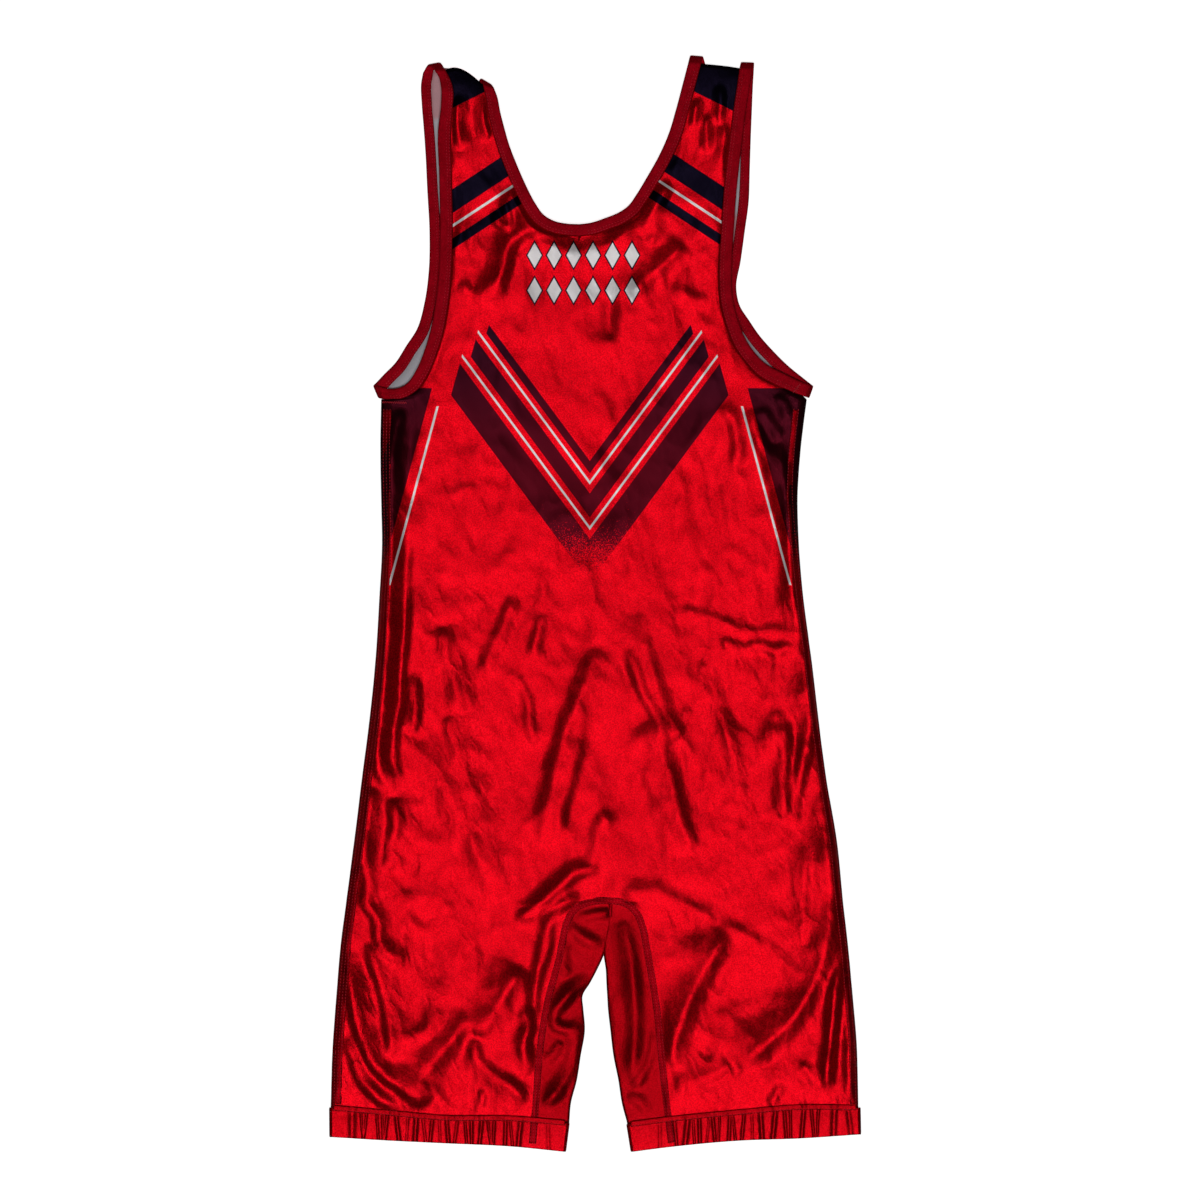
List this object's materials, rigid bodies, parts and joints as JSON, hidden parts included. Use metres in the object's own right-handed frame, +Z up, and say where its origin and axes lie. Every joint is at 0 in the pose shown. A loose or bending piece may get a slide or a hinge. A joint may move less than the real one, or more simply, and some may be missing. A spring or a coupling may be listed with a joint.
{
  "type": "wrestling singlet",
  "caption": "Sleeveless one-piece wrestling suit laid flat, its back on top, with wide straps, scooped neck, bound armholes and short legs with gathered elastic hems.",
  "frame": {"origin": "on the surface that the garment lies on, under the middle of its box", "axes": "+Y from the leg hems to the shoulders, +X across to the right-hand strap as seen from above, +Z up out of the surface"},
  "size_m": [0.4096, 0.8442, 0.0094],
  "materials": {
    "stretch_knit": "bright satin stretch knit",
    "binding": "matte ribbed binding"
  },
  "bodies": {
    "root": {"back_panel": "stretch_knit", "front_panel": "stretch_knit", "inner_leg_panel_left": "stretch_knit", "inner_leg_panel_right": "stretch_knit", "leg_hem_left": "stretch_knit", "leg_hem_right": "stretch_knit", "neck_binding": "binding", "armhole_binding_left": "binding", "armhole_binding_right": "binding"}
  },
  "joints": []
}
